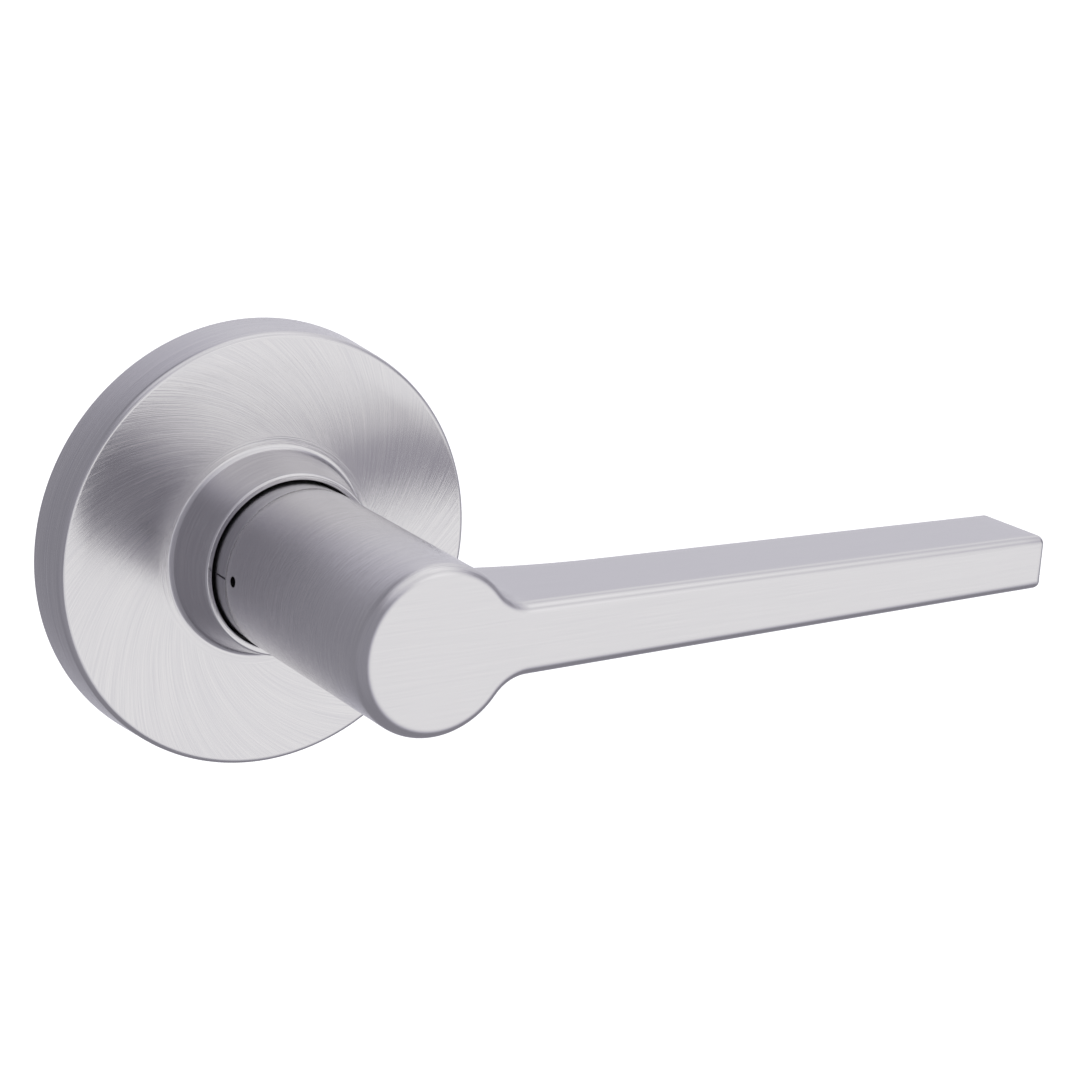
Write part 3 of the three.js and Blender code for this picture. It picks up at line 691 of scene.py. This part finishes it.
def leverMesh():
    hubSteps, underSteps, blendSteps, edgeSteps, cornerSteps = 96, 10, 8, 28, 5
    chain = [("hub", i / hubSteps) for i in range(hubSteps + 1)]
    chain += [("under", i / underSteps) for i in range(1, underSteps + 1)]
    chain += [("blend", i / blendSteps) for i in range(1, blendSteps + 1)]
    chain += [("edge", i / edgeSteps) for i in range(1, edgeSteps + 1)]
    chain += [("corner", i / cornerSteps) for i in range(1, cornerSteps + 1)]
    last, meets = len(chain) - 1, hubSteps
    front = lever["front"]
    points, faces = [], []

    def add(x, depth, z):
        points.append((x, depth - front, z))
        return len(points) - 1

    def ringOf(rows):  # the upper half, then the lower half back to the start
        upper = [add(x, depth, z) for x, z, depth in rows]
        lower = [add(x, depth, -z) for x, z, depth in rows]
        return upper, lower

    def joinRings(first, second, start=0):
        for half in (0, 1):
            a, b = first[half], second[half]
            for i in range(start, last):
                faces.append((a[i], a[i + 1], b[i + 1], b[i]))
        faces.append((first[0][last], first[1][last], second[1][last], second[0][last]))

    # front face and its fillet
    rings = []
    for k in range(11):
        turn = math.pi / 2 * k / 10
        rows = []
        for kind, t in chain:
            inset, tipInset = (r * (1 - math.sin(turn)) for r in (lever["fillet"], lever["tipFillet"]))
            tip = 1 if kind == "corner" else t**8 if kind == "edge" else 0
            depth = (lever["fillet"] + (lever["tipFillet"] - lever["fillet"]) * tip) * (1 - math.cos(turn))
            x, z = outlinePoint(kind, t, depth, inset, tipInset)
            rows.append((x, z, depth))
        rings.append(ringOf(rows))
    upper, lower = rings[0]
    for i in range(last):
        faces.append((upper[i], upper[i + 1], lower[i + 1], lower[i]))
    # walls, down to the arm's back and as far on the hub
    meetX = outlinePoint("hub", 1, backDepth(10), 0, 0)[0]
    meetDepth = backDepth(meetX)
    endRows = []
    for kind, t in chain:
        if kind == "hub":
            endRows.append((meetDepth, 0))
            continue
        x = outlinePoint(kind, t, meetDepth, 0, 0)[0]
        soft = lever["backFillet"] * min(1, (x - meetX) / 4)
        endRows.append((backDepth(x) - soft, soft))
    topDepths = [front + points[i][1] for i in rings[-1][0]]
    for k in range(1, 9):
        rows = []
        for (kind, t), top, (end, _) in zip(chain, topDepths, endRows):
            depth = top + (end - top) * k / 8
            rows.append((*outlinePoint(kind, t, depth, 0, 0), depth))
        rings.append(ringOf(rows))
    walls = len(rings)
    # rounding of the arm's back edges
    for k in range(1, 5):
        turn = math.pi / 2 * k / 4
        rows = []
        for (kind, t), (end, soft) in zip(chain, endRows):
            inset = soft * (1 - math.cos(turn))
            rows.append((*outlinePoint(kind, t, end, inset, inset), end + soft * math.sin(turn)))
        rings.append(ringOf(rows))
    for k in range(len(rings) - 1):
        joinRings(rings[k], rings[k + 1], 0 if k + 1 < walls else meets)
    # the arm's back, and the points where the hub comes out of it
    upper, lower = rings[-1]
    under = []
    radius = hubRadius(meetDepth)
    x, z = outlinePoint("hub", 1, meetDepth, 0, 0)
    meetTurn = math.atan2(z, x)
    for j in range(underSteps + 1):
        turn = meetTurn * (1 - j / underSteps)
        x = radius * math.cos(turn)
        under.append((x, radius * math.sin(turn), backDepth(x)))
    underUpper = [add(x, depth, z) for x, z, depth in under]
    underLower = [add(x, depth, -z) for x, z, depth in under]
    for j in range(underSteps):
        i = meets + j
        faces.append((upper[i], upper[i + 1], underUpper[j + 1], underUpper[j]))
        faces.append((lower[i], lower[i + 1], underLower[j + 1], underLower[j]))
    centre = underUpper[-1]
    for i in range(meets + underSteps, last):
        x = points[upper[i + 1]][0]
        following = add(x, front + points[upper[i + 1]][1], 0)
        faces.append((upper[i], upper[i + 1], following, centre))
        faces.append((lower[i], lower[i + 1], following, centre))
        centre = following
    faces.append((upper[last], lower[last], centre))
    # the round hub behind the arm, its rear end and its bore
    base = rings[walls - 1]
    order = [base[0][i] for i in range(meets + 1)] + underUpper[1:]
    order += underLower[-2:0:-1] + [base[1][i] for i in range(meets, 0, -1)]
    turns = [math.atan2(points[i][2], points[i][0]) for i in order]
    tops = [front + points[i][1] for i in order]
    seamDepth, edge = front - lever["seam"], lever["seamEdge"]

    def circle(radius, depths):
        return [add(radius * math.cos(a), d, radius * math.sin(a)) for a, d in zip(turns, depths)]

    loops = [order]
    for k in range(1, 13):
        depths = [top + (seamDepth - edge - top) * k / 12 for top in tops]
        radii = [hubRadius(d) for d in depths]
        loops.append([add(r * math.cos(a), d, r * math.sin(a)) for a, d, r in zip(turns, depths, radii)])
    for radius, depth in (
        (hubRadius(seamDepth - edge) - edge * 0.3, seamDepth - edge * 0.3),
        (lever["hubRear"] - edge, seamDepth),
        (lever["spigotRadius"], seamDepth),
        (lever["spigotRadius"], front - lever["spigotEnd"]),
        (lever["boreRadius"], front - lever["spigotEnd"]),
        (lever["boreRadius"], front - lever["boreEnd"]),
    ):
        loops.append(circle(radius, [depth] * len(turns)))
    count = len(turns)
    for a, b in zip(loops, loops[1:]):
        for i in range(count):
            faces.append((a[i], a[(i + 1) % count], b[(i + 1) % count], b[i]))
    bottom = add(0, front - lever["boreEnd"], 0)
    for i in range(count):
        faces.append((loops[-1][i], loops[-1][(i + 1) % count], bottom))
    mesh = meshFrom("leverCast", points, faces)
    turn = math.radians(lever["releaseAngle"])
    ends = [(r * math.cos(turn), -lever["releaseOut"], r * math.sin(turn)) for r in lever["releaseReach"]]
    return cutMesh(mesh, barMesh(lever["releaseRadius"], *ends, 32))


addPiece("leverCasting", leverMesh(), "lever", smoothAngle=30)
print("lever made")


def blockMesh(low, high):
    shape = bmesh.new()
    size = [h - l for l, h in zip(low, high)]
    middle = [(l + h) / 2 for l, h in zip(low, high)]
    matrix = Matrix.Translation(Vector(middle) * mm) @ Matrix.Diagonal((*[v * mm for v in size], 1))
    bmesh.ops.create_cube(shape, size=1, matrix=matrix)
    mesh = bpy.data.meshes.new("block")
    shape.to_mesh(mesh)
    shape.free()
    return mesh


# A turned profile with its corners rounded: corners are (radius, out, fillet).
def roundedProfile(corners, steps=5):
    profile = []
    count = len(corners)
    for i, (radius, out, fillet) in enumerate(corners):
        here = Vector((radius, out))
        if fillet == 0:
            profile.append(tuple(here))
            continue
        before = (Vector(corners[i - 1][:2]) - here).normalized()
        after = (Vector(corners[(i + 1) % count][:2]) - here).normalized()
        half = math.acos(max(-1, min(1, before.dot(after)))) / 2
        reach = fillet / math.tan(half)
        centre = here + (before + after).normalized() * (fillet / math.sin(half))
        start, end = here + before * reach - centre, here + after * reach - centre
        for k in range(steps + 1):
            t = k / steps
            mixedWay = (start * (1 - t) + end * t).normalized() * fillet
            profile.append(tuple(centre + mixedWay))
    return profile


sleeve = {
    "radius": 12.53,
    "rear": 4.6,
    "shoulder": 18.7,
    "spigotRadius": 10.6,
    "front": 27.3,
    "boreRadius": 8.55,
    "flatHalf": 7.75,
    "catchRadius": 1.95,
    "catchReach": (6.0, 14.0),  # from inside the bore to outside the sleeve
    "edge": 0.2,
    "slitAngle": 178.0,
    "slitWidth": 0.3,
    "slitDepth": 0.6,
    "slitRear": 15.6,
    "slitFront": 19.0,
}


def sleeveMesh():
    edge = sleeve["edge"]
    corners = [
        (sleeve["boreRadius"] - 3, sleeve["rear"], 0),
        (sleeve["radius"], sleeve["rear"], edge),
        (sleeve["radius"], sleeve["shoulder"], edge),
        (sleeve["spigotRadius"], sleeve["shoulder"], 0),
        (sleeve["spigotRadius"], sleeve["front"], edge),
        (sleeve["boreRadius"] - 3, sleeve["front"], 0),
    ]
    mesh = turnedMesh("sleeveTurned", roundedProfile(corners), 240)
    low, high = sleeve["rear"] - 1, sleeve["front"] + 1
    hole = barMesh(sleeve["boreRadius"], (0, -low, 0), (0, -high, 0), 96)
    wide, flat = sleeve["boreRadius"] + 1, sleeve["flatHalf"]
    key = blockMesh((-wide, -high - 1, -flat), (wide, -low + 1, flat))
    mesh = cutMesh(mesh, cutMesh(hole, key, "INTERSECT"))
    turn = math.radians(lever["releaseAngle"])
    ends = [(r * math.cos(turn), -lever["releaseOut"], r * math.sin(turn)) for r in sleeve["catchReach"]]
    mesh = cutMesh(mesh, barMesh(sleeve["catchRadius"], *ends))
    half, depth = sleeve["slitWidth"] / 2, sleeve["slitDepth"]
    inside, outside = sleeve["radius"] - depth, sleeve["catchReach"][1]
    slit = blockMesh((inside, -sleeve["slitFront"], -half), (outside, -sleeve["slitRear"], half))
    slit.transform(Matrix.Rotation(-math.radians(sleeve["slitAngle"]), 4, "Y"))
    return cutMesh(mesh, slit)


addPiece("sleeveTurned", sleeveMesh(), "hub_sleeve", smoothAngle=30)

bush = {
    "inner": 12.68,
    "outer": 13.08,
    "top": 12.8,
    "foot": 15.8,
    "footFront": 6.55,
    "footRear": 5.45,
    "edge": 0.08,
}


def bushMesh():
    soft = bush["edge"]
    corners = [
        (bush["inner"], bush["footRear"], soft),
        (bush["foot"], bush["footRear"], soft),
        (bush["foot"], bush["footFront"], soft),
        (bush["outer"], bush["footFront"], 0),
        (bush["outer"], bush["top"], soft),
        (bush["inner"], bush["top"], soft),
    ]
    return turnedMesh("collarBush", roundedProfile(corners, 3), 200)


addPiece("collarBush", bushMesh(), "collar_bush")
print("sleeve and bush made")


def boxOf(node):
    low, high = (Vector(c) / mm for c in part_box(node))
    return low, high


def ringOfTurned(start, size, corners, steps, filletSteps=5):
    one = turnedByNodes(start, corners, steps, filletSteps)
    line = start.node("GeometryNodeMeshLine", {}, {"Count": size["Count"]})
    index = start.node("GeometryNodeInputIndex", {}, {})
    turn = (size["First angle"] + index * 360 / size["Count"]) * (math.pi / 180)
    away = size["Circle radius"] * mm
    where = start.joined(away * turn.cosine(), 0.0, away * turn.sine())
    line = start.node("GeometryNodeSetPosition", {}, {"Geometry": line, "Position": where})
    return start.node("GeometryNodeInstanceOnPoints", {}, {"Points": line, "Instance": one})


rivet = {
    "Count": 4,
    "Circle radius": 22.3,
    "First angle": 45.0,
    "Shank radius": 1.2,
    "Head radius": 2.1,
    "Head height": 0.9,
    "Front": 1.7,
    "Rear": -1.2,
    "Rear head": 1.0,  # 0 where the rivet is flush behind
}


def rivetTree():
    tree, start, size = newTree("rivetRing", rivet)
    shank, head, height = (size[k] * mm for k in ("Shank radius", "Head radius", "Head height"))
    front, rear, both = size["Front"] * mm, size["Rear"] * mm, size["Rear head"]
    behind = shank + (head - shank) * both
    crown = 0.8  # width of a head's top, as a share of the head
    gap = 0.01 * mm  # keeps the shank's corner off the head's
    corners = [
        (0.0, rear - height * both, 0.0),
        (behind * crown, rear - height * both, height * 0.5 * both),
        (behind, rear, 0.0),
        (shank, rear + gap, 0.0),
        (shank, front, 0.0),
        (head, front, 0.0),
        (head * crown, front + height, height * 0.6),
        (0.0, front + height, 0.0),
    ]
    finishTree(start, ringOfTurned(start, size, corners, 32), finishes["zinc_plate"])
    return tree


def ringFrom(names):  # how far from the spindle the first one stands, and at what angle
    low, high = boxOf(names[0])
    middle = (low + high) / 2
    return math.hypot(middle.x, middle.z), math.degrees(math.atan2(middle.z, middle.x))


rivets = rivetTree()
for name, names, rearHead in (
    ("housingRivets", [f"housing_rivet_{i}" for i in range(1, 5)], 1.0),
    ("clipRivets", [f"clip_rivet_{i}" for i in range(1, 4)], 0.0),
):
    low, high = boxOf(names[0])
    away, angle = ringFrom(names)
    sizes = {**rivet, "Count": len(names), "Circle radius": away, "First angle": angle, "Rear head": rearHead}
    sizes["Front"] = -low.y - rivet["Head height"]
    sizes["Rear"] = -high.y + rivet["Head height"] * rearHead
    addPiece(name, grownMesh(name, rivets, sizes), *names)

post = {
    "Count": 2,
    "Circle radius": 19.05,
    "First angle": 180.0,
    "Body radius": 3.6,
    "Neck radius": 2.9,
    "Bore radius": 2.2,
    "Length": 20.0,
    "Neck front": 1.7,
    "Head height": 0.8,
}

# Small edges of a post, in millimetres.
postEdges = {
    "tipMouth": 0.4,
    "tipFillet": 0.3,
    "mouthDepth": 0.6,
    "shoulder": 0.1,
    "headMouth": 0.2,
    "headFillet": 0.4,
}


def postTree():
    tree, start, size = newTree("postPair", post)
    body, neck, bore = (size[k] * mm for k in ("Body radius", "Neck radius", "Bore radius"))
    length, front, height = (size[k] * mm for k in ("Length", "Neck front", "Head height"))
    small = {name: value * mm for name, value in postEdges.items()}
    corners = [
        (bore + small["tipMouth"], -length, 0.0),
        (body, -length, small["tipFillet"]),
        (body, -small["shoulder"], small["shoulder"]),
        (neck, -small["shoulder"], 0.0),
        (neck, front, 0.0),
        (neck + height, front, 0.0),
        (neck + height * 0.5, front + height, small["headFillet"]),
        (bore + small["headMouth"], front + height, 0.0),
        (bore, front + height * 0.6, 0.0),
        (bore, small["mouthDepth"] - length, 0.0),
    ]
    finishTree(start, ringOfTurned(start, size, corners, 48), finishes["zinc_plate"])
    return tree


addPiece("threadedPosts", grownMesh("threadedPosts", postTree(), post), "post_left", "post_right")

# A round wire through a line's points, once they are moved to where.
def wireThrough(start, line, where, wire, sides):
    line = start.node("GeometryNodeSetPosition", {}, {"Geometry": line, "Position": where})
    path = start.node("GeometryNodeMeshToCurve", {}, {0: line})
    section = {"Resolution": sides, "Radius": wire * (mm / 2)}
    section = start.node("GeometryNodeCurvePrimitiveCircle", {}, section)
    inputs = {"Curve": path, "Profile Curve": section, "Fill Caps": True}
    return start.node("GeometryNodeCurveToMesh", {}, inputs)


spring = {
    "Wire": 1.6,
    "Mean radius": 11.8,
    "Leg end": 17.9,
    "Leg half angle": 17.0,
    "Top angle": 90.0,
    "Turns": 3.1,
    "Rear": -8.7,
    "Rise": 5.6,
}


def springTree():
    tree, start, size = newTree("torsionSpring", spring)
    count = 420
    mean, end = size["Mean radius"], size["Leg end"]
    leg = end - mean
    coil = size["Turns"] * (2 * math.pi) * mean
    total = coil + leg * 2
    line = start.node("GeometryNodeMeshLine", {}, {"Count": count})
    index = start.node("GeometryNodeInputIndex", {}, {})
    along = index / (count - 1) * total
    first = start.math("MAXIMUM", leg - along, 0.0)
    last = start.math("MAXIMUM", along - coil - leg, 0.0)
    share = start.node("ShaderNodeClamp", {}, {0: (along - leg) / coil})
    degrees = size["Top angle"] - size["Leg half angle"] + share * size["Turns"] * 360
    turn = degrees * (math.pi / 180)
    reach = (mean + first + last) * mm
    out = (size["Rear"] + size["Rise"] * share) * mm
    where = start.joined(reach * turn.cosine(), -out, reach * turn.sine())
    finishTree(start, wireThrough(start, line, where, size["Wire"], 14), finishes["spring_steel"])
    return tree


def springSizes():
    low, high = boxOf("return_spring")
    points = [Vector(v.co) / mm for v in nodes["return_spring"].data.vertices]
    wire = spring["Wire"]
    tops = [math.hypot(p.x, p.z) for p in points]
    endBand = 0.3  # how near the furthest point the tips of the legs are looked for
    ends = [p for p, r in zip(points, tops) if r > max(tops) - endBand]
    angles = [math.degrees(math.atan2(p.z, p.x)) for p in ends]
    half = (max(angles) - min(angles)) / 2 - math.degrees(wire / 2 / max(tops))
    sizes = {**spring, "Leg half angle": half, "Turns": 3 + half / 180}
    sizes["Leg end"] = max(tops) - 0.02
    sizes["Mean radius"] = -low.z - wire / 2
    sizes["Rear"] = -high.y + wire / 2
    sizes["Rise"] = high.y - low.y - wire
    return sizes


addPiece("returnSpring", grownMesh("returnSpring", springTree(), springSizes()), "return_spring")

catchSpring = {
    "Wire": 0.45,
    "Coil radius": 2.0,
    "Turns": 6.0,
    "Low": -7.5,
    "High": 3.0,
    "Out": 21.4,
    "Angle": 176.5,
}


def catchSpringTree():
    tree, start, size = newTree("compressionSpring", catchSpring)
    count = 220
    line = start.node("GeometryNodeMeshLine", {}, {"Count": count})
    index = start.node("GeometryNodeInputIndex", {}, {})
    share = index / (count - 1)
    turn = share * size["Turns"] * (2 * math.pi)
    angle = size["Angle"] * (math.pi / 180)
    along = size["Low"] + (size["High"] - size["Low"]) * share
    side = size["Coil radius"] * turn.cosine()
    out = size["Out"] + size["Coil radius"] * turn.sine()
    x = along * angle.cosine() - side * angle.sine()
    z = along * angle.sine() + side * angle.cosine()
    where = start.joined(x * mm, -out * mm, z * mm)
    finishTree(start, wireThrough(start, line, where, size["Wire"], 12), finishes["spring_steel"])
    return tree


catchTravel = 1.9


# The catch's spring, which the pressed catch squeezes against the far wall of the tube, is coiled here
# between the ends of the CAD spring.
def addCatchSpring():
    angle = math.radians(lever["releaseAngle"])
    axis = Vector((math.cos(angle), 0, math.sin(angle)))
    reaches = [Vector(v.co).dot(axis) / mm for v in nodes["catch_spring"].data.vertices]
    wire = catchSpring["Wire"]
    low, high = min(reaches) + wire * 0.55, max(reaches) - wire * 0.55
    sizes = {**catchSpring, "Low": low, "High": high}
    mesh = grownMesh("catchSpringCoil", catchSpringTree(), sizes)
    piece = addPiece("catchSpringCoil", mesh, "catch_spring")
    foot = axis * low - Vector((0, catchSpring["Out"], 0))
    tuple(foot * mm)
    1 - catchTravel / (high - low)
    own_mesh(piece)


addCatchSpring()
print("rivets, posts and springs made")


softening = {
    "mergeReach": 1e-6,
    "flatAngle": 1,  # degrees: facets this near to flat become one face
    "edgeAngle": 40,  # degrees: sharper edges than this are rounded
    "segments": 2,
    "flatSide": 0.9999,  # how squarely a side looks along the spindle axis
}

# The CAD shapes that only get their edges broken, each with its width.
edges = {
    "support_plate": 0.2,
    "spring_housing": 0.25,
    "cam_plate": 0.15,
    "bearing_bush": 0.15,
    "drive_tube": 0.08,
    "thrust_washer": 0.12,
    "circlip": 0.1,
    "drive_plug": 0.12,
    "torque_spindle": 0.2,
    "spindle_pin": 0.12,
    "lever_catch": 0.12,
    "rose_clip_1": 0.08,
    "rose_clip_2": 0.08,
    "rose_clip_3": 0.08,
}


def pieceName(node):
    return "soft" + "".join(word.capitalize() for word in node.split("_"))


def softened(node, width):
    mesh = nodes[node].data.copy()
    mesh.name = pieceName(node)
    shape = bmesh.new()
    shape.from_mesh(mesh)
    bmesh.ops.remove_doubles(shape, verts=shape.verts, dist=softening["mergeReach"])
    angle = math.radians(softening["flatAngle"])
    flat = {"angle_limit": angle, "verts": shape.verts, "edges": shape.edges}
    bmesh.ops.dissolve_limit(shape, **flat)
    shape.to_mesh(mesh)
    shape.free()
    holder = bpy.data.objects.new("holder", mesh)
    scene.collection.objects.link(holder)
    bevel = holder.modifiers.new("edges", "BEVEL")
    bevel.width = width * mm
    bevel.segments = softening["segments"]
    bevel.limit_method = "ANGLE"
    bevel.angle_limit = math.radians(softening["edgeAngle"])
    graph = bpy.context.evaluated_depsgraph_get()
    result = bpy.data.meshes.new_from_object(holder.evaluated_get(graph), depsgraph=graph)
    result.name = pieceName(node)
    bpy.data.objects.remove(holder)
    return cleaned(result)


for node, width in edges.items():
    piece = addPiece(pieceName(node), softened(node, width), node)
    for face in piece.data.polygons:  # the flat sides stay flat beside their rounded edges
        face.use_smooth = abs(face.normal.y) < softening["flatSide"]
print("stamped and machined pieces made")


view = {
    "azimuth": -33.3,
    "elevation": 16.35,
    "roll": 3.28,
    "target": (33.47, -30.0, 4.28),
    "distance": 371.9,
    "lens": 83.42,
    "sensor": 36,
}


def addCamera():
    azimuth, elevation, roll = (math.radians(view[k]) for k in ("azimuth", "elevation", "roll"))
    back = Vector((
        math.sin(azimuth) * math.cos(elevation),
        -math.cos(azimuth) * math.cos(elevation),
        math.sin(elevation),
    ))
    right = Vector((math.cos(azimuth), math.sin(azimuth), 0))
    up = back.cross(right)
    across = math.cos(roll) * right + math.sin(roll) * up
    over = math.cos(roll) * up - math.sin(roll) * right
    camera = bpy.data.objects.new("camera", bpy.data.cameras.new("camera"))
    camera.data.lens = view["lens"]
    camera.data.sensor_width = view["sensor"]
    camera.data.clip_start = 0.01
    camera.data.clip_end = 200
    turned = Matrix((across, over, back)).transposed().to_4x4()
    place = (Vector(view["target"]) + view["distance"] * back) * mm
    camera.matrix_world = Matrix.Translation(place) @ turned
    scene.collection.objects.link(camera)
    scene.camera = camera


# Each lamp has a strength, a direction and a spread, from the cosine where it starts to where it is full.
studio = {
    "floorDrop": 0.35,  # metres below the spindle
    "floorSize": 60.0,
    "ambient": 0.33,
    "dimColor": (0.985, 0.97, 1.08, 1),
    "whiteLevel": (0.2, 0.8),  # where the light turns from the dim colour to white
    "front": 0.80,
    "frontDirection": (0.52, -0.80, -0.12),
    "frontSpread": (0.55, 0.95),
    "over": 0.66,
    "overDirection": (0.15, -0.35, 0.90),
    "overSpread": (0.6, 0.95),
    "rear": 0.42,
    "rearDirection": (0.45, 0.87, 0.18),
    "rearSpread": (0.45, 0.95),
    "crest": 0.3,
    "crestDirection": (0.55, 0.25, 0.80),
    "crestSpread": (0.75, 0.95),
    "left": 0.05,
    "leftDirection": (-0.85, -0.50, 0.0),
    "leftSpread": (0.4, 0.9),
}


def addFloor():
    half = studio["floorSize"] / 2
    drop = -studio["floorDrop"]
    mesh = bpy.data.meshes.new("floor")
    corners = [(-half, -half, drop), (half, -half, drop), (half, half, drop), (-half, half, drop)]
    mesh.from_pydata(corners, [], [(0, 1, 2, 3)])
    floor = bpy.data.objects.new("floor", mesh)
    scene.collection.objects.link(floor)
    floor.visible_glossy = False
    floor.visible_diffuse = False

    def paleFloor(place):
        inputs = {
            "Base Color": (0.86, 0.86, 0.86, 1),
            "Roughness": 0.9,
            "Emission Color": (1, 1, 1, 1),
            "Emission Strength": 0.55,
        }
        return place.node("ShaderNodeBsdfPrincipled", {}, inputs)

    mesh.materials.append(newMaterial("paleFloor", paleFloor))


# Soft light all round, brighter where the studio's large lamps stand.
def addLight():
    world = bpy.data.worlds.new("studio")
    world.use_nodes = True
    scene.world = world
    tree = world.node_tree
    tree.nodes.clear()
    start = Wire(tree)
    direction = start.node("ShaderNodeTexCoord", {}, {}, 0)

    def lamp(name):
        towards = Vector(studio[name + "Direction"]).normalized()
        settings = {"operation": "DOT_PRODUCT"}
        facing = start.node("ShaderNodeVectorMath", settings, {0: direction, 1: towards}, "Value")
        return facing.ramp(*studio[name + "Spread"]) * studio[name]

    lamps = lamp("front")
    for name in ("over", "rear", "left", "crest"):
        lamps = lamps + lamp(name)
    glow = lamps + studio["ambient"]
    color = mixed(start, lamps.ramp(*studio["whiteLevel"]), studio["dimColor"], (1, 1, 1, 1))
    background = start.node("ShaderNodeBackground", {}, {"Color": color, "Strength": glow})
    end = tree.nodes.new("ShaderNodeOutputWorld")
    tree.links.new(background.socket, end.inputs["Surface"])


addCamera()
addFloor()
addLight()
scene.view_settings.view_transform = "Standard"
print("camera, floor and light set")
